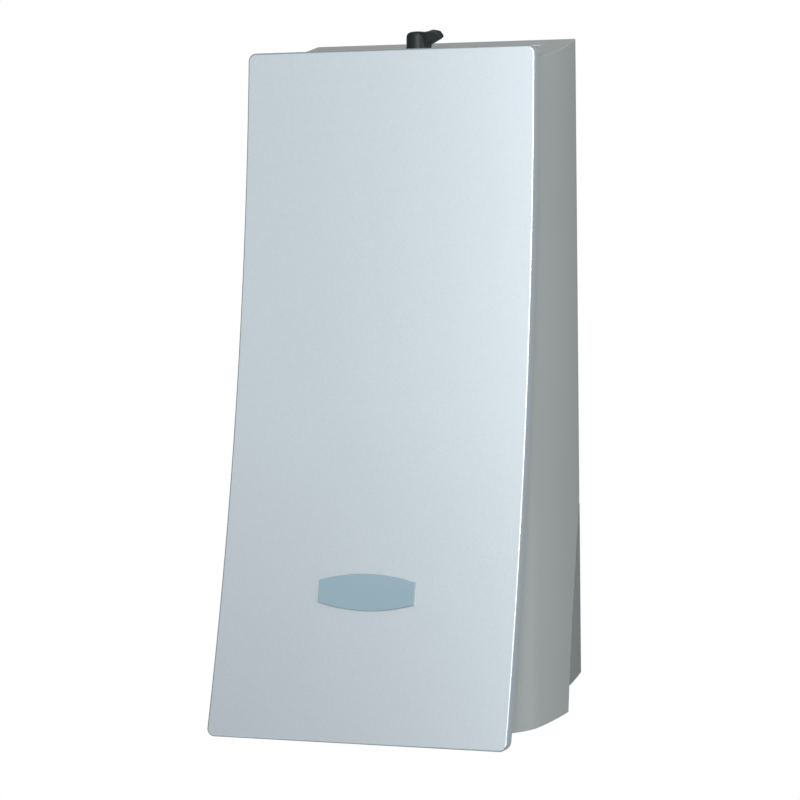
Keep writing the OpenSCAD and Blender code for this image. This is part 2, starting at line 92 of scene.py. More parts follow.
def face_y(z):
    return arc_y(z, FACE_R, FACE_Y, FACE_Z)


def back_y(z):
    return arc_y(z, BACK_R, FACE_Y, FACE_Z)


def lerp(a, b, t):
    return a + (b - a) * t


def smooth(a, b, x):
    t = min(1.0, max(0.0, (x - a) / (b - a)))
    return t * t * (3 - 2 * t)


# ---------------------------------------------------------------- materials
def node(tree, kind, **values):
    """A new node, with its properties and sockets set by name."""
    n = tree.nodes.new(kind)
    for key, value in values.items():
        if hasattr(n, key):
            setattr(n, key, value)
        else:
            n.inputs[key.replace("_", " ")].default_value = value
    return n


def ramp(tree, source, stops):
    """A 0 to 1 value turned into colours."""
    n = tree.nodes.new("ShaderNodeValToRGB")
    while len(n.color_ramp.elements) < len(stops):
        n.color_ramp.elements.new(0.5)
    for e, (at, colour) in zip(n.color_ramp.elements, stops):
        e.position = at
        e.color = (*colour, 1)
    tree.links.new(source, n.inputs[0])
    return n.outputs[0]


def span(tree, source, a, b):
    """A 0 to 1 value carried onto a to b."""
    n = node(tree, "ShaderNodeMapRange")
    n.inputs["To Min"].default_value = a
    n.inputs["To Max"].default_value = b
    tree.links.new(source, n.inputs["Value"])
    return n.outputs[0]


def shade(colour, k):
    return tuple(min(1.0, c * k) for c in colour)


def material(name, colour, grain=1500.0, depth=0.00003, mottle=0.05, rough=(0.4, 0.5), metallic=0.0,
             patch=45.0, stretch=(1, 1, 1), strength=0.4, **sockets):
    """Paint, plastic, rubber or metal: broad mottle and fine grain in the colour, roughness and bump."""
    m = bpy.data.materials.new(name)
    m.use_nodes = True
    t = m.node_tree
    p = t.nodes["Principled BSDF"]
    p.inputs["Metallic"].default_value = metallic
    for key, value in sockets.items():
        p.inputs[key.replace("_", " ")].default_value = value
    where = node(t, "ShaderNodeTexCoord").outputs["Object"]
    place = node(t, "ShaderNodeMapping")
    place.inputs["Scale"].default_value = stretch
    t.links.new(where, place.inputs["Vector"])
    broad = node(t, "ShaderNodeTexNoise", Scale=patch, Detail=3.0, Roughness=0.55)
    fine = node(t, "ShaderNodeTexNoise", Scale=grain, Detail=2.0, Roughness=0.6)
    for n in (broad, fine):
        t.links.new(place.outputs[0], n.inputs["Vector"])
    both = node(t, "ShaderNodeMath", operation="MULTIPLY_ADD")
    t.links.new(fine.outputs[0], both.inputs[0])
    both.inputs[1].default_value = 0.65
    weaker = node(t, "ShaderNodeMath", operation="MULTIPLY")
    t.links.new(broad.outputs[0], weaker.inputs[0])
    weaker.inputs[1].default_value = 0.35
    t.links.new(weaker.outputs[0], both.inputs[2])
    tint = ramp(t, both.outputs[0], [(0.3, shade(colour, 1 - mottle)), (0.5, colour),
                                     (0.7, shade(colour, 1 + mottle))])
    t.links.new(tint, p.inputs["Base Color"])
    smoothest = rough[0] - 0.1 * (rough[1] - rough[0])
    t.links.new(span(t, both.outputs[0], smoothest, rough[1]), p.inputs["Roughness"])
    bump = node(t, "ShaderNodeBump", Strength=strength, Distance=depth)
    t.links.new(fine.outputs[0], bump.inputs["Height"])
    t.links.new(bump.outputs[0], p.inputs["Normal"])
    return m


def flake_paint(name, colour):
    """Satin silver paint: tiny flat flakes that catch the light, under a faint uneven spray."""
    m = material(name, colour, grain=2600.0, depth=0.00001, mottle=0.016, rough=(0.36, 0.42), metallic=0.55,
                 patch=14.0, strength=0.15)
    t = m.node_tree
    p = t.nodes["Principled BSDF"]
    where = node(t, "ShaderNodeTexCoord").outputs["Object"]
    flakes = node(t, "ShaderNodeTexVoronoi", Scale=2800.0)
    t.links.new(where, flakes.inputs["Vector"])
    grey = node(t, "ShaderNodeRGBToBW")
    t.links.new(flakes.outputs["Color"], grey.inputs[0])
    spark = ramp(t, grey.outputs[0], [(0.0, (0.965,) * 3), (0.5, (1.0,) * 3), (1.0, (1.03,) * 3)])
    mix = node(t, "ShaderNodeMix", data_type="RGBA", blend_type="MULTIPLY")
    mix.inputs[0].default_value = 1.0
    old = p.inputs["Base Color"].links[0].from_socket
    t.links.new(old, mix.inputs[6])
    t.links.new(spark, mix.inputs[7])
    # painted shade: the colour is darkened round the rim and on the sides, where the surface turns away from
    # the front, which also dims the edge's highlight; the rim is made duller as well
    facing = node(t, "ShaderNodeSeparateXYZ")
    t.links.new(t.nodes["Texture Coordinate"].outputs["Normal"], facing.inputs[0])
    flat = node(t, "ShaderNodeMath", operation="ABSOLUTE")
    t.links.new(facing.outputs["Y"], flat.inputs[0])
    edge = ramp(t, flat.outputs[0], [(0.25, (0.84,) * 3), (0.5, (0.5,) * 3), (0.88, (0.5,) * 3),
                                     (0.985, (1.0,) * 3)])
    # the painted shade on the rim multiplies the base colour here
    rim_painted_shade = node(t, "ShaderNodeMix", data_type="RGBA", blend_type="MULTIPLY")
    rim_painted_shade.inputs[0].default_value = 1.0
    t.links.new(mix.outputs[2], rim_painted_shade.inputs[6])
    t.links.new(edge, rim_painted_shade.inputs[7])
    t.links.new(rim_painted_shade.outputs[2], p.inputs["Base Color"])
    dull = node(t, "ShaderNodeMapRange")
    dull.inputs["From Min"].default_value = 0.97
    dull.inputs["From Max"].default_value = 0.6
    dull.inputs["To Max"].default_value = 0.3
    t.links.new(flat.outputs[0], dull.inputs["Value"])
    rougher = node(t, "ShaderNodeMath", operation="ADD")
    t.links.new(p.inputs["Roughness"].links[0].from_socket, rougher.inputs[0])
    t.links.new(dull.outputs[0], rougher.inputs[1])
    t.links.new(rougher.outputs[0], p.inputs["Roughness"])
    return m


SILVER = flake_paint("satin_silver_panel", (0.60, 0.665, 0.71))
HOUSING = material("grey_housing", (0.42, 0.445, 0.435), grain=1700.0, depth=0.00004, mottle=0.05,
                   rough=(0.42, 0.54), patch=22.0, strength=0.35)
BACK = material("grey_back", (0.27, 0.29, 0.29), grain=1500.0, depth=0.00005, mottle=0.06, rough=(0.45, 0.58),
                patch=30.0)
BADGE = material("badge_blue_grey", (0.25, 0.35, 0.405), grain=2600.0, depth=0.00001, mottle=0.025,
                 rough=(0.24, 0.34), patch=60.0, strength=0.2)
TANK = material("clear_tank", (0.80, 0.84, 0.86), grain=500.0, depth=0.00001, mottle=0.02,
                rough=(0.25, 0.34), patch=30.0, strength=0.06, Transmission_Weight=0.3, IOR=1.49)
WHITE = material("white_pump", (0.74, 0.76, 0.76), grain=900.0, depth=0.00002, mottle=0.03,
                 rough=(0.26, 0.36))
DARK = material("dark_moulding", (0.085, 0.095, 0.095), grain=1400.0, depth=0.00004, mottle=0.08,
                rough=(0.4, 0.55))
BLACK = material("black_key", (0.011, 0.015, 0.016), grain=1800.0, depth=0.00002, mottle=0.15,
                 rough=(0.42, 0.55), patch=90.0, strength=0.3, Specular_IOR_Level=0.3)
RUBBER = material("black_rubber", (0.022, 0.022, 0.023), grain=1600.0, depth=0.00004, mottle=0.18,
                  rough=(0.6, 0.75), strength=0.6)
STEEL = material("steel", (0.62, 0.62, 0.63), grain=900.0, depth=0.000004, mottle=0.04, rough=(0.22, 0.32),
                 metallic=1.0, stretch=(0.15, 1, 1), patch=120.0, strength=0.12)
FOAM = material("foam_tape", (0.72, 0.72, 0.67), grain=1300.0, depth=0.0001, mottle=0.08, rough=(0.75, 0.9),
                strength=0.8)

CAD_LOOKS = {
    "wall_plate": BACK, "tape_strips": FOAM, "cover": HOUSING, "cover_screws": STEEL, "reservoir": TANK,
    "neck_gasket": RUBBER, "pump_body": WHITE, "pump_cap": WHITE, "inlet_seat": RUBBER, "inlet_ball": STEEL,
    "plunger": WHITE, "piston": DARK, "piston_ring": RUBBER, "return_spring": STEEL, "spout": WHITE,
    "outlet_valve": RUBBER, "front_panel": SILVER, "badge": BADGE, "hinge_brackets": DARK, "hinge_pin": STEEL,
    "press_boss": DARK, "boss_pad": RUBBER, "lid": HOUSING, "lid_gasket": RUBBER, "lid_pin": STEEL,
    "lock_bush": BLACK, "key": BLACK, "lock_cam": STEEL, "cam_screw": STEEL, "bumpers": RUBBER,
}
for name, look in CAD_LOOKS.items():
    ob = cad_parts[name]
    ob.data.materials.clear()
    ob.data.materials.append(look)


# ---------------------------------------------------------------- mesh helpers
def make(name, verts, faces, look):
    """A mesh object from points in millimetres."""
    me = bpy.data.meshes.new(name)
    me.from_pydata([(x * MM, y * MM, z * MM) for x, y, z in verts], [], faces)
    me.validate()
    ob = bpy.data.objects.new(name, me)
    bpy.context.scene.collection.objects.link(ob)
    me.materials.append(look)
    bm = bmesh.new()
    bm.from_mesh(me)
    bmesh.ops.recalc_face_normals(bm, faces=bm.faces)
    bm.to_mesh(me)
    bm.free()
    me.polygons.foreach_set("use_smooth", [True] * len(me.polygons))
    return ob


def apply_all(ob):
    """The object's modifiers made part of its mesh."""
    dg = bpy.context.evaluated_depsgraph_get()
    me = bpy.data.meshes.new_from_object(ob.evaluated_get(dg))
    ob.modifiers.clear()
    old, ob.data = ob.data, me
    bpy.data.meshes.remove(old)


def cut(ob, tool, operation="DIFFERENCE"):
    """The tool taken from the object, or joined to it, and then removed."""
    mod = ob.modifiers.new("cut", "BOOLEAN")
    mod.operation = operation
    mod.solver = "EXACT"
    mod.object = tool
    apply_all(ob)
    bpy.data.objects.remove(tool)


def finish_normals(ob, angle=32):
    """Smooth shading that stays sharp where faces meet at more than the angle."""
    ob.data.polygons.foreach_set("use_smooth", [True] * len(ob.data.polygons))
    ob.data.set_sharp_from_angle(angle=math.radians(angle))
    mod = ob.modifiers.new("normals", "WEIGHTED_NORMAL")
    mod.keep_sharp = True
    mod.weight = 50


def box_mesh(lo, hi):
    (a, b, c), (d, e, f) = lo, hi
    v = [(a, b, c), (d, b, c), (d, e, c), (a, e, c), (a, b, f), (d, b, f), (d, e, f), (a, e, f)]
    return v, [(0, 3, 2, 1), (4, 5, 6, 7), (0, 1, 5, 4), (1, 2, 6, 5), (2, 3, 7, 6), (3, 0, 4, 7)]


def prism(one, other):
    """A solid between two rings of as many points."""
    m = len(one)
    caps = [tuple(range(m)), tuple(range(2 * m - 1, m - 1, -1))]
    return one + other, caps + [(i, i + m, (i + 1) % m + m, (i + 1) % m) for i in range(m)]


def revolve(profile, x, y, n):
    """A closed solid of revolution about a line along Z; the profile starts and ends on the line."""
    v, f, rings = [], [], []
    for r, z in profile:
        if r == 0:
            v.append((x, y, z))
            rings.append([len(v) - 1])
        else:
            rings.append(list(range(len(v), len(v) + n)))
            around = [2 * math.pi * i / n for i in range(n)]
            v += [(x + r * math.cos(a), y + r * math.sin(a), z) for a in around]
    for a, b in zip(rings, rings[1:]):
        for i in range(n):
            k = (i + 1) % n
            if len(a) == 1:
                f.append((a[0], b[k], b[i]))
            elif len(b) == 1:
                f.append((a[i], a[k], b[0]))
            else:
                f.append((a[i], a[k], b[k], b[i]))
    return v, f


def gather(parts):
    """Several meshes as one."""
    verts, faces = [], []
    for v, f in parts:
        k = len(verts)
        verts += v
        faces += [tuple(i + k for i in q) for q in f]
    return verts, faces


def put(ob, body, nodes):
    """The piece that stands for CAD nodes, put on its body, with those nodes hidden."""
    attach(ob, body)
    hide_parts(*nodes)


# ---------------------------------------------------------------- front panel
def outline_side(which, inset, n_arc, n_line):
    """One side of the panel's rounded, tapered outline, from one corner's middle to the next."""
    r, k = PANEL_CORNER - inset, PANEL_CORNER
    centres = {"bl": (k - PANEL_W0, PANEL_Z0 + k), "br": (PANEL_W0 - k, PANEL_Z0 + k),
               "tl": (k - PANEL_W1, PANEL_Z1 - k), "tr": (PANEL_W1 - k, PANEL_Z1 - k)}
    first, last, mid = {"bottom": ("bl", "br", 270), "top": ("tl", "tr", 90),
                        "left": ("bl", "tl", 180), "right": ("br", "tr", 0)}[which]
    sign = 1 if which in ("bottom", "right") else -1
    pts = []
    for i in range(n_arc + 1):
        a = math.radians(mid - sign * 45 * (1 - i / n_arc))
        c = centres[first]
        pts.append((c[0] + r * math.cos(a), c[1] + r * math.sin(a)))
    ends = pts[-1]
    a = math.radians(mid)
    c = centres[last]
    stop = (c[0] + r * math.cos(a), c[1] + r * math.sin(a))
    for i in range(1, n_line):
        pts.append((lerp(ends[0], stop[0], i / n_line), lerp(ends[1], stop[1], i / n_line)))
    for i in range(n_arc + 1):
        a = math.radians(mid + sign * 45 * i / n_arc)
        pts.append((c[0] + r * math.cos(a), c[1] + r * math.sin(a)))
    return pts


def panel_sheet(inset, n_arc=4, nx=26, nz=58):
    """A grid of (x, z) points filling the outline, by blending its four sides."""
    b, t = (outline_side(s, inset, n_arc, nx) for s in ("bottom", "top"))
    left, r = (outline_side(s, inset, n_arc, nz) for s in ("left", "right"))
    cols, rows = len(b), len(left)
    grid = []
    for j in range(rows):
        v = (left[j][1] - left[0][1]) / (left[-1][1] - left[0][1])
        line = []
        for i in range(cols):
            u = (b[i][0] - b[0][0]) / (b[-1][0] - b[0][0])
            p = []
            for k in (0, 1):
                p.append((1 - v) * b[i][k] + v * t[i][k] + (1 - u) * left[j][k] + u * r[j][k]
                         - ((1 - u) * (1 - v) * b[0][k] + u * (1 - v) * b[-1][k]
                            + (1 - u) * v * t[0][k] + u * v * t[-1][k]))
            line.append(tuple(p))
        grid.append(line)
    return grid


def rim_of(rows, cols):
    """Grid places round the edge, in order."""
    return ([(0, i) for i in range(cols)] + [(j, cols - 1) for j in range(1, rows)]
            + [(rows - 1, i) for i in range(cols - 2, -1, -1)] + [(j, 0) for j in range(rows - 2, 0, -1)])


def build_panel():
    front_r, rear_r, front_n, rear_n = 0.6, 0.4, 6, 3
    sheets = []
    for k in range(front_n + 1):
        a = math.pi / 2 * k / front_n
        sheets.append((front_r * (1 - math.sin(a)), front_r * (1 - math.cos(a))))
    for k in range(rear_n + 1):
        a = math.pi / 2 * k / rear_n
        sheets.append((rear_r * (1 - math.cos(a)), PANEL_T - rear_r + rear_r * math.sin(a)))
    verts, faces = [], []

    def add(p, depth):
        x, z = p
        verts.append((x, lerp(face_y(z), back_y(z), depth / PANEL_T), z))
        return len(verts) - 1

    front = [[add(p, 0.0) for p in line] for line in panel_sheet(sheets[0][0])]
    rows, cols = len(front), len(front[0])
    rim = rim_of(rows, cols)
    rings = [[front[j][i] for j, i in rim]]
    for inset, depth in sheets[1:-1]:
        g = panel_sheet(inset)
        rings.append([add(g[j][i], depth) for j, i in rim])
    rear = [[add(p, PANEL_T) for p in line] for line in panel_sheet(sheets[-1][0])]
    rings.append([rear[j][i] for j, i in rim])
    for g in (front, rear):
        for j in range(rows - 1):
            for i in range(cols - 1):
                faces.append((g[j][i], g[j][i + 1], g[j + 1][i + 1], g[j + 1][i]))
    n = len(rim)
    for a, b in zip(rings, rings[1:]):
        for i in range(n):
            faces.append((a[i], a[(i + 1) % n], b[(i + 1) % n], b[i]))
    ob = make("panel_face", verts, faces, SILVER)

    # recess for the press mark, and pockets for the feet of the brackets and the boss
    top, low = badge_edges(0.02, BADGE_N)
    ring = top + low[::-1]
    tools = [prism([(x, face_y(z) - 4, z) for x, z in ring], [(x, face_y(z) + 1, z) for x, z in ring])]
    n = 8
    for cx, cz, (wx, wz) in ((-ARM_X, HINGE_Z, BRACKET_POCKET), (ARM_X, HINGE_Z, BRACKET_POCKET),
                             (0, PUMP_Z, BOSS_POCKET)):
        v, f = [], [(3, 2, 1, 0), tuple(range(4 * n, 4 * n + 4))]
        for i in range(n + 1):
            z = cz - wz + 2 * wz * i / n
            deep, clear = back_y(z) - POCKET_DEPTH, back_y(z) + 6
            v += [(cx - wx, deep, z), (cx + wx, deep, z), (cx + wx, clear, z), (cx - wx, clear, z)]
        for i in range(n):
            for k in range(4):
                a, b = 4 * i + k, 4 * i + (k + 1) % 4
                f.append((a, b, b + 4, a + 4))
        tools.append((v, f))
    cut(ob, make("panel_tool", *gather(tools), SILVER))
    finish_normals(ob)
    put(ob, "panel", ["front_panel"])
    return ob


# ---------------------------------------------------------------- press mark
BADGE_N = 36


def badge_edges(grow, n):
    """Upper and lower edge of the press mark, left to right."""
    half = BADGE_W / 2
    r = (half * half + BADGE_RISE ** 2) / (2 * BADGE_RISE)
    top, low = [], []
    for i in range(n + 1):
        x = (half + grow) * (2 * i / n - 1)
        h = BADGE_H / 2 - r + math.sqrt((r + grow) ** 2 - x * x)
        top.append((x, BADGE_Z + h))
        low.append((x, BADGE_Z - h))
    return top, low


def build_badge():
    """A flat middle between two facets that slope back to the bowed edges, on a foot in its recess."""
    n, levels, facet = BADGE_N, 8, 0.35
    top_proud, low_proud, foot_depth = 0.06, 0.38, 0.95
    top, low = badge_edges(0.0, n)
    upper = BADGE_Z + BADGE_H / 2 - BADGE_RISE - facet
    lower = BADGE_Z - BADGE_H / 2 + BADGE_RISE + facet
    verts, faces, grid = [], [], []
    for i in range(n + 1):
        x = top[i][0]
        zs = [low[i][1], lerp(low[i][1], lower, 0.5)]
        zs += [lerp(lower, upper, k / levels) for k in range(levels + 1)]
        zs += [lerp(upper, top[i][1], 0.5), top[i][1]]
        col = []
        for z in zs:
            out = BADGE_PROUD
            if z > upper:
                out = lerp(BADGE_PROUD, top_proud, (z - upper) / (BADGE_RISE + facet))
            if z < lower:
                out = lerp(BADGE_PROUD, low_proud, (lower - z) / (BADGE_RISE + facet))
            verts.append((x, face_y(z) - out, z))
            col.append(len(verts) - 1)
        grid.append(col)
    m = len(grid[0])
    for i in range(n):
        for j in range(m - 1):
            faces.append((grid[i][j], grid[i + 1][j], grid[i + 1][j + 1], grid[i][j + 1]))
    ring = [grid[i][j] for j, i in rim_of(m, n + 1)]
    foot = []
    for k in ring:
        x, y, z = verts[k]
        verts.append((x, face_y(z) + foot_depth, z))
        foot.append(len(verts) - 1)
    c = len(ring)
    for i in range(c):
        faces.append((ring[i], foot[i], foot[(i + 1) % c], ring[(i + 1) % c]))
    faces.append(tuple(foot))
    ob = make("press_mark", verts, faces, BADGE)
    mod = ob.modifiers.new("round", "BEVEL")
    mod.limit_method = "ANGLE"
    mod.angle_limit = math.radians(50)
    mod.width = 0.1 * MM
    mod.segments = 3
    apply_all(ob)
    finish_normals(ob, 25)
    put(ob, "panel", ["badge"])
    return ob


# ---------------------------------------------------------------- cover
def blend(a, b):
    """The smaller of two widths, with the change from one to the other rounded."""
    return min(a, b) - max(BLEND - abs(a - b), 0.0) ** 2 / (4 * BLEND)


def half_width(y, inset):
    """The cover's half-width at a depth, before it leans."""
    if y >= CORNER_Y:
        corner = 1e6
    else:
        corner = CORNER_X + math.sqrt(max((CORNER_R - inset) ** 2 - (y - CORNER_Y) ** 2, 0.0))
    return blend(corner, SIDE_X - SIDE_R + math.sqrt((SIDE_R - inset) ** 2 - (y - SIDE_Y) ** 2))


def side_path(z, inset, y0, y1, shares):
    """Points of the side wall at a height, at given shares of its length from rear to front."""
    turn = max(y1, CORNER_Y)
    pts = [(half_width(lerp(y0, turn, i / 20), inset), lerp(y0, turn, i / 20)) for i in range(21)]
    if y1 < CORNER_Y:
        r = CORNER_R - inset
        last = math.asin(min(1.0, (CORNER_Y - y1) / r))
        for i in range(1, 41):
            yy = CORNER_Y - r * math.sin(last * i / 40)
            a = CORNER_X + r * math.cos(last * i / 40)
            b = SIDE_X - SIDE_R + math.sqrt((SIDE_R - inset) ** 2 - (yy - SIDE_Y) ** 2)
            pts.append((blend(a, b), yy))
    lengths = [0.0]
    for a, b in zip(pts, pts[1:]):
        lengths.append(lengths[-1] + math.hypot(b[0] - a[0], b[1] - a[1]))
    total, out, k = lengths[-1], [], 0
    for s in shares:
        want = s * total
        while k < len(pts) - 2 and lengths[k + 1] < want:
            k += 1
        f = (want - lengths[k]) / max(1e-9, lengths[k + 1] - lengths[k])
        out.append((lerp(pts[k][0], pts[k + 1][0], f), lerp(pts[k][1], pts[k + 1][1], f)))
    return out


def counts(stops, gap):
    """How many steps to take between stops, each about gap long."""
    return [max(1, round(abs(b - a) / gap)) for a, b in zip(stops, stops[1:])]


def steps(stops, numbers):
    """Values through all stops, in the given number of steps between each two."""
    out = [stops[0]]
    for a, b, n in zip(stops, stops[1:], numbers):
        out += [lerp(a, b, i / n) for i in range(1, n + 1)]
    return out


def lean(x, z):
    """The plan carried up the height leans in a little towards the top."""
    return x - LEAN * z


# grid lines along the openings' edges, and the steps between them up to the corner where the cover's
# side, front and top meet
X_STOPS = [0.0, BOSS_HOLE_X, ARM_HOLE_X0, ARM_HOLE_X1, LID_HOLE_X]
ROW_STOPS = [BOTTOM_Z, BOSS_HOLE_Z0, BOSS_HOLE_Z1, ARM_HOLE_Z0, ARM_HOLE_Z1]
Y_STOPS = [LID_HOLE_Y1, LID_HOLE_Y0]
MEET_X, MEET_Y, MEET_Z = 46.0, -48.0, 98.6
ROW_COUNTS = counts(ROW_STOPS + [MEET_Z], 3.6)
Y_COUNTS = counts([0.0] + Y_STOPS + [MEET_Y], 2.6)
X_COUNTS = counts(X_STOPS + [MEET_X], 4.6)
# the front's columns fan out with the foot below the first height and stand straight above the second
FAN_Z0, FAN_Z1 = -60, 80


def cover_skin(inset):
    """The cover's surface moved in by inset, as three joined grids: side, front and top."""
    fr, tr = FRONT_R + inset, TOP_R + inset
    top_at = lambda y: TOP_Z - math.sqrt(tr * tr - (y - TOP_Y) ** 2)
    front_at = lambda z: arc_y(z, fr, FRONT_Y, FRONT_Z)
    rear_at = lambda z: min(0.0, REAR_Y - math.sqrt(REAR_R ** 2 - (z - REAR_Z) ** 2))
    y = MEET_Y
    for _ in range(8):
        y = front_at(top_at(y))
    peak = top_at(y)
    rows = steps(ROW_STOPS + [peak], ROW_COUNTS)
    ys = steps([0.0] + Y_STOPS + [y], Y_COUNTS)
    # shares of the path that put the top row at those depths
    fine = 400
    many = [i / fine for i in range(fine + 1)]
    path = side_path(peak, inset, 0.0, y, many)
    shares = [min(zip(many, path), key=lambda at: abs(at[1][1] - want))[0] for want in ys]
    shares[0], shares[-1] = 0.0, 1.0
    side = []
    for z_front in rows:
        v = (z_front - BOTTOM_Z) / (peak - BOTTOM_Z)
        line = []
        for i, s in enumerate(shares):
            yy = lerp(0.0, y, s)
            for _ in range(6):
                z = lerp(BOTTOM_Z, top_at(yy), v)
                xx, yy = side_path(z, inset, rear_at(z), front_at(z), [s])[0]
            # the top row lies on the top's own grid
            if v > 0.999 and i not in (0, len(shares) - 1):
                yy = ys[i]
                z = top_at(yy)
                xx = half_width(yy, inset)
            line.append((lean(xx, z), yy, z))
        side.append(line)
    # front: columns from the middle outwards, ending on the side's front edge
    high = steps(X_STOPS + [side[-1][-1][0]], X_COUNTS)

    def stretched(h, still, edge_x):
        """A column beyond the still ones, carried out towards the edge."""
        return h if h <= still else lerp(still, edge_x, (h - still) / (high[-1] - still))

    front = []
    for edge_x, _, z in (line[-1] for line in side):
        t = smooth(FAN_Z0, FAN_Z1, z)
        xs = [lerp(stretched(h, BOSS_HOLE_X, edge_x), h, t) for h in high[:-1]]
        front.append([(x, front_at(z), z) for x in xs + [edge_x]])
    # top: rows in depth, columns as the front's, ending on the side's top edge
    top = []
    for edge in side[-1]:
        edge_x, yy, _ = edge
        top.append([(stretched(h, LID_HOLE_X, edge_x), yy, top_at(yy)) for h in high[:-1]] + [edge])
    return rows, ys, high, side, front, top


def build_cover():
    """The housing's shell: outer and inner skin, joined round the rims and the openings."""
    skins = [cover_skin(0.0), cover_skin(WALL)]
    rows, ys, high = skins[0][:3]
    bm = bmesh.new()
    crease = bm.edges.layers.float.new("bevel_weight_edge")
    places = {}

    def vert(p):
        key = tuple(round(c, 3) for c in p)
        if key not in places:
            places[key] = bm.verts.new([c * MM for c in p])
        return places[key]

    def quad(*ps):
        vs = []
        for p in ps:
            v = vert(p)
            if v not in vs:
                vs.append(v)
        if len(vs) > 2 and not bm.faces.get(vs):
            bm.faces.new(vs)

    def cell(g, i, j):
        quad(g[j][i], g[j][i + 1], g[j + 1][i + 1], g[j + 1][i])

    def band(p, q, k):
        """One step of the strip between two lines."""
        quad(p[k], p[k + 1], q[k + 1], q[k])

    def mark(a, b, w):
        """How much of the full rounding an edge gets."""
        e = bm.edges.get((vert(a), vert(b)))
        if e:
            e[crease] = w

    def front_hole(i, j):
        x = (high[i] + high[i + 1]) / 2
        z = (rows[j] + rows[j + 1]) / 2
        return ((x < BOSS_HOLE_X and BOSS_HOLE_Z0 < z < BOSS_HOLE_Z1)
                or (ARM_HOLE_X0 < x < ARM_HOLE_X1 and ARM_HOLE_Z0 < z < ARM_HOLE_Z1))

    def top_hole(i, j):
        x = (high[i] + high[i + 1]) / 2
        y = (ys[j] + ys[j + 1]) / 2
        return x < LID_HOLE_X and LID_HOLE_Y0 < y < LID_HOLE_Y1

    # a cell's four sides: the ends of each, and the cell beyond it
    sides = (((0, 0), (1, 0), (0, -1)), ((0, 1), (1, 1), (0, 1)),
             ((1, 0), (1, 1), (1, 0)), ((0, 0), (0, 1), (-1, 0)))
    for sgn in (1, -1):
        grids = [[[[(sgn * x, y, z) for x, y, z in line] for line in g] for g in skin[3:]] for skin in skins]
        for side, front, top in grids:
            for j in range(len(side) - 1):
                for i in range(len(side[0]) - 1):
                    cell(side, i, j)
                for i in range(len(front[0]) - 1):
                    if not front_hole(i, j):
                        cell(front, i, j)
            for j in range(len(top) - 1):
                for i in range(len(top[0]) - 1):
                    if not top_hole(i, j):
                        cell(top, i, j)
        (s0, f0, t0), (s1, f1, t1) = grids
        # rear rim, up the side and across the top, then the bottom rim
        rear = [[line[0] for line in g] for g in (s0, s1)]
        for j in range(len(s0) - 1):
            band(*rear, j)
        for i in range(len(t0[0]) - 1):
            band(t0[0], t1[0], i)
            band(f0[0], f1[0], i)
        for i in range(len(s0[0]) - 1):
            band(s0[0], s1[0], i)
        # walls of the openings
        for g, h, hole in ((f0, f1, front_hole), (t0, t1, top_hole)):
            for j in range(len(g) - 1):
                for i in range(len(high) - 1):
                    if not hole(i, j):
                        continue
                    for (ai, aj), (bi, bj), (di, dj) in sides:
                        if i + di < 0 or hole(i + di, j + dj):
                            continue
                        outer = g[j + aj][i + ai], g[j + bj][i + bi]
                        inner = h[j + aj][i + ai], h[j + bj][i + bi]
                        band(outer, inner, 0)
                        mark(*outer, HOLE_EDGE)
                        mark(*inner, HOLE_INNER_EDGE)
        for (side, front, top), w in zip(grids, (1.0, 0.5)):
            for j in range(len(side) - 1):
                mark(side[j][0], side[j + 1][0], w)
                mark(side[j][-1], side[j + 1][-1], w)
            for i in range(len(side[0]) - 1):
                mark(side[0][i], side[0][i + 1], BOTTOM_EDGE * w)
                mark(side[-1][i], side[-1][i + 1], w)
            for i in range(len(front[0]) - 1):
                mark(front[0][i], front[0][i + 1], BOTTOM_EDGE * w)
                mark(front[-1][i], front[-1][i + 1], w)
                mark(top[0][i], top[0][i + 1], w)
    bmesh.ops.recalc_face_normals(bm, faces=bm.faces)
    me = bpy.data.meshes.new("cover_shell")
    bm.to_mesh(me)
    bm.free()
    ob = bpy.data.objects.new("cover_shell", me)
    bpy.context.scene.collection.objects.link(ob)
    me.materials.append(HOUSING)
    mod = ob.modifiers.new("round", "BEVEL")
    mod.limit_method = "WEIGHT"
    mod.width = 0.32 * MM
    mod.segments = 3
    mod.profile = 0.6
    apply_all(ob)
    # shallow seats for the round stops near the bottom edge
    n = 64
    for s in (-1, 1):
        v = []
        for i in range(n):
            a = 2 * math.pi * i / n
            x, z = s * STOP_X + STOP_R * math.cos(a), STOP_Z + STOP_R * math.sin(a)
            y = arc_y(z, FRONT_R, FRONT_Y, FRONT_Z)
            v += [(x, y - 3, z), (x, y + STOP_SEAT, z)]
        f = [tuple(range(0, 2 * n, 2)), tuple(range(2 * n - 1, 0, -2))]
        f += [tuple((2 * i + k) % (2 * n) for k in (0, 1, 3, 2)) for i in range(n)]
        cut(ob, make("seat_tool", v, f, HOUSING))
    finish_normals(ob, 40)
    put(ob, "housing", ["cover"])
    return ob


def under_top(x0, x1, y0, y1, d0, d1):
    """A strip between two depths below the cover's hollow top."""
    n, v = max(2, round((y1 - y0) / 2.5)), []
    for i in range(n + 1):
        y = lerp(y0, y1, i / n)
        z = TOP_Z - math.sqrt(TOP_R ** 2 - (y - TOP_Y) ** 2)
        v += [(x0, y, z - d1), (x1, y, z - d1), (x1, y, z - d0), (x0, y, z - d0)]
    f = [(0, 1, 2, 3), tuple(4 * n + k for k in (3, 2, 1, 0))]
    for i in range(n):
        for k in range(4):
            a, b = 4 * i + k, 4 * i + (k + 1) % 4
            f.append((a, a + 4, b + 4, b))
    return v, f


def across(x, y, z, r, w):
    """A round bar along X."""
    v, f = revolve([(0, -w / 2), (r, -w / 2), (r, w / 2), (0, w / 2)], 0, 0, 48)
    return [(x + c, y + b, z + a) for a, b, c in v], f


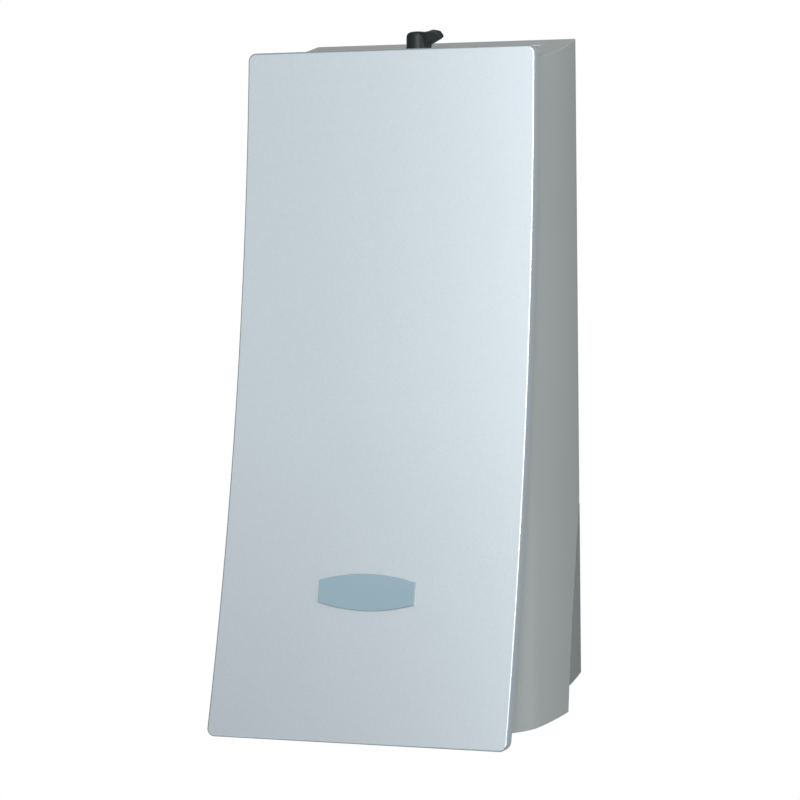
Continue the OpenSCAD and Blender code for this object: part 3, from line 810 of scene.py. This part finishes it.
def build_fittings():
    """What is moulded inside the cover: the lid's shelf, the bearings, the screw tabs, and the blocks
    that hang in the wall plate's hooks."""
    # the shelf round the lid's opening: its outer half-width, inner half-width and edges in depth
    wide, inner, front, lip, rear = 42.2, 33, -44.4, -37.8, -16
    # depths below the cover's top: of the skin, the step that the lid's seal lies on, and the underside
    skin, step, under = 2.3, 3.1, 4.6
    bite = 0.01
    lid_lug_r, lid_lug_w, lid_bore = 1.95, 5.6, 1.05
    arm_lug_r, arm_lug_w, arm_bore = 3.2, 3.4, 1.55
    foot_y, foot_half = -46.4, 3
    tab_half, hook_half = 7.5, 3.6
    solids = [under_top(-wide, wide, front, LID_HOLE_Y0, skin, under),
              under_top(-wide, wide, LID_HOLE_Y0 - bite, lip, step, under),
              under_top(-wide, -inner, lip - bite, rear, step, under),
              under_top(inner, wide, lip - bite, rear, step, under),
              under_top(-wide, -LID_HOLE_X, LID_HOLE_Y0 - bite, rear, skin, 3.2),
              under_top(LID_HOLE_X, wide, LID_HOLE_Y0 - bite, rear, skin, 3.2)]
    for s in (-1, 1):
        solids.append(across(s * LID_BEARING_X, LID_PIN_Y, LID_PIN_Z, lid_lug_r, lid_lug_w))
        for x in ARM_BEARING_X:
            solids.append(across(s * x, HINGE_Y, HINGE_Z, arm_lug_r, arm_lug_w))
            solids.append(box_mesh((s * x - arm_lug_w / 2, foot_y, HINGE_Z - foot_half),
                                   (s * x + arm_lug_w / 2, HINGE_Y, HINGE_Z + foot_half)))
        solids.append(box_mesh((s * TAB_X - tab_half, -27.5, -95.4), (s * TAB_X + tab_half, -18.5, -93)))
        solids.append(box_mesh((s * TAB_X - hook_half, -6.6, 99.7), (s * TAB_X + hook_half, -3.2, 107.4)))
    ob = make("cover_fittings", *solids[0], HOUSING)
    for v, f in solids[1:]:
        cut(ob, make("more", v, f, HOUSING), "UNION")
    bores = [across(0, LID_PIN_Y, LID_PIN_Z, lid_bore, 90), across(0, HINGE_Y, HINGE_Z, arm_bore, 90)]
    through = [(0, -100), (SCREW_R, -100), (SCREW_R, -90), (0, -90)]
    bores += [revolve(through, s * SCREW_X, SCREW_Y, 40) for s in (-1, 1)]
    for v, f in bores:
        cut(ob, make("bore", v, f, HOUSING))
    mod = ob.modifiers.new("round", "BEVEL")
    mod.limit_method = "ANGLE"
    mod.angle_limit = math.radians(40)
    mod.width = 0.2 * MM
    mod.segments = 2
    apply_all(ob)
    finish_normals(ob, 40)
    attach(ob, "housing")
    return ob


# ---------------------------------------------------------------- key
def build_key():
    """Round head and thumb wing melted into one moulding, on a plain stem."""
    head = [(0.0, 105.8), (3.5, 105.8), (3.7, 106.0), (3.7, 110.3), (3.55, 111.05), (3.1, 111.65),
            (2.3, 111.98), (1.2, 112.12), (0, 112.15)]
    ob = make("key_grip", *revolve(head, 0, KEY_Y, 48), BLACK)
    # the wing's outline from the front, and its half-thickness: thicker upwards, thinner to its end
    wing = [(-0.4, 105.9), (3.78, 105.9), (3.82, 108.1), (4.6, 108.45), (6.0, 109.1), (7.1, 109.65),
            (7.8, 110.1), (8.0, 110.5), (7.9, 110.95), (7.5, 111.45), (7.1, 111.9), (6.8, 112.25),
            (6.3, 112.43), (5.7, 112.35), (4.8, 112.0), (3.5, 111.75), (2.0, 111.7), (-0.4, 111.75)]
    thin, thick, taper = 2.3, 3.5, 0.4
    front, rear = [], []
    for x, z in wing:
        half = lerp(thin, thick, (z - 107.5) / 4.5) * (1 - taper * smooth(3.6, 8.6, x))
        front.append((x, KEY_Y - half, z))
        rear.append((x, KEY_Y + half, z))
    cut(ob, make("key_wing", *prism(front, rear), BLACK), "UNION")
    mod = ob.modifiers.new("melt", "REMESH")
    mod.mode = "VOXEL"
    mod.voxel_size = 0.13 * MM
    mod.use_smooth_shade = True
    mod = ob.modifiers.new("soften", "SMOOTH")
    mod.factor = 0.5
    mod.iterations = 9
    apply_all(ob)
    ob.data.polygons.foreach_set("use_smooth", [True] * len(ob.data.polygons))
    stem = revolve([(0, 95.2), (2.3, 95.2), (2.5, 95.4), (2.5, 106.4), (0, 106.4)], 0, KEY_Y, 48)
    shaft = make("key_stem", *stem, BLACK)
    finish_normals(shaft, 40)
    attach(shaft, "key_set")
    put(ob, "key_set", ["key"])
    return ob


# ---------------------------------------------------------------- return spring
def build_spring():
    """Round wire wound along Y, between the button's rim and the pump's cap."""
    wire, r, turns, per, sides = 0.35, 5.9, 5, 40, 10
    y0, y1 = -66.0 + wire + 0.05, -54.5 - wire - 0.05
    n = turns * per
    v, f = [], []
    for i in range(n + 1):
        a = 2 * math.pi * i / per
        c = Vector((r * math.cos(a), lerp(y0, y1, i / n), PUMP_Z + r * math.sin(a)))
        step = r * 2 * math.pi / per
        tangent = Vector((-step * math.sin(a), (y1 - y0) / n, step * math.cos(a)))
        tangent.normalize()
        out = Vector((math.cos(a), 0, math.sin(a)))
        other = tangent.cross(out)
        for k in range(sides):
            b = 2 * math.pi * k / sides
            p = c + out * (wire * math.cos(b)) + other * (wire * math.sin(b))
            v.append(tuple(p))
    for i in range(n):
        for k in range(sides):
            a, b = i * sides + k, i * sides + (k + 1) % sides
            f.append((a, b, b + sides, a + sides))
    f.append(tuple(range(sides - 1, -1, -1)))
    f.append(tuple(range(n * sides, (n + 1) * sides)))
    ob = make("spring_wire", v, f, STEEL)
    put(ob, "housing", ["return_spring"])
    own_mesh(ob)
    return ob


build_panel()
build_badge()
build_cover()
build_fittings()
build_key()
build_spring()

# ---------------------------------------------------------------- floor, light and camera
floor_look = material("pale_floor", (0.85, 0.865, 0.87), grain=60.0, depth=0.0005, mottle=0.02,
                      rough=(0.6, 0.75), patch=2.0)
floor_r, floor_n = 3000.0, 128
around = [2 * math.pi * i / floor_n for i in range(floor_n)]
rings = [[(floor_r * math.cos(a), floor_r * math.sin(a), z) for a in around] for z in (-1200.0, -1220.0)]
floor = make("pale_floor", *prism(*rings), floor_look)
floor.data.polygons.foreach_set("use_smooth", [False] * len(floor.data.polygons))

scene = bpy.context.scene
scene.view_settings.view_transform = "Standard"
world = bpy.data.worlds.new("studio")
scene.world = world
world.use_nodes = True
wt = world.node_tree
wt.nodes.clear()
out = node(wt, "ShaderNodeOutputWorld")
# a plain white backdrop that lights the object only faintly
seen = node(wt, "ShaderNodeBackground", Color=(1, 1, 1, 1), Strength=1.0)
fill = node(wt, "ShaderNodeBackground", Color=(0.93, 0.97, 1.0, 1), Strength=0.22)
path = node(wt, "ShaderNodeLightPath")
pick = node(wt, "ShaderNodeMixShader")
wt.links.new(path.outputs["Is Camera Ray"], pick.inputs[0])
wt.links.new(fill.outputs[0], pick.inputs[1])
wt.links.new(seen.outputs[0], pick.inputs[2])
wt.links.new(pick.outputs[0], out.inputs[0])


def area(name, place, aim, size, watts, colour=(1, 1, 1)):
    """A soft rectangular light turned towards a point."""
    light = bpy.data.lights.new(name, "AREA")
    light.shape = "RECTANGLE"
    light.size, light.size_y = size
    light.energy = watts
    light.color = colour
    ob = bpy.data.objects.new(name, light)
    scene.collection.objects.link(ob)
    ob.location = place
    ob.rotation_mode = "QUATERNION"
    ob.rotation_quaternion = (Vector(aim) - Vector(place)).to_track_quat("-Z", "Y")
    return ob


MIDDLE = (0, -0.04, 0)
area("near_light", (0.15, -0.577, 0.215), MIDDLE, (0.2, 0.2), 2.72)
area("left_light", (-0.743, -1.1, 0.113), MIDDLE, (0.45, 0.45), 0.75)
area("side_light", (1.237, -0.371, 0.226), MIDDLE, (0.5, 0.5), 5.3)
area("top_light", (0.115, -0.45, 1.2), MIDDLE, (0.6, 0.6), 3.6)
area("floor_light", (0, 0, -1.0), (0, 0, -1.2), (6.0, 6.0), 33.0, (0.84, 0.95, 1.0))
area("back_light", (-0.6, 1.1, -0.15), MIDDLE, (0.6, 0.6), 5.0)

camera = bpy.data.objects.new("camera", bpy.data.cameras.new("camera"))
scene.collection.objects.link(camera)
scene.camera = camera
camera.data.sensor_width = 36.0
camera.data.lens = 130.4
spot, aim = Vector((0.3094, -0.8953, 0.0456)), Vector((-0.0026, -0.0382, -0.0041))
look = (aim - spot).to_track_quat("-Z", "Y")
roll = math.radians(-0.45)
camera.rotation_mode = "QUATERNION"
camera.rotation_quaternion = look @ Matrix.Rotation(roll, 3, "Z").to_quaternion()
camera.location = spot
camera.data.clip_start, camera.data.clip_end = 0.05, 50.0
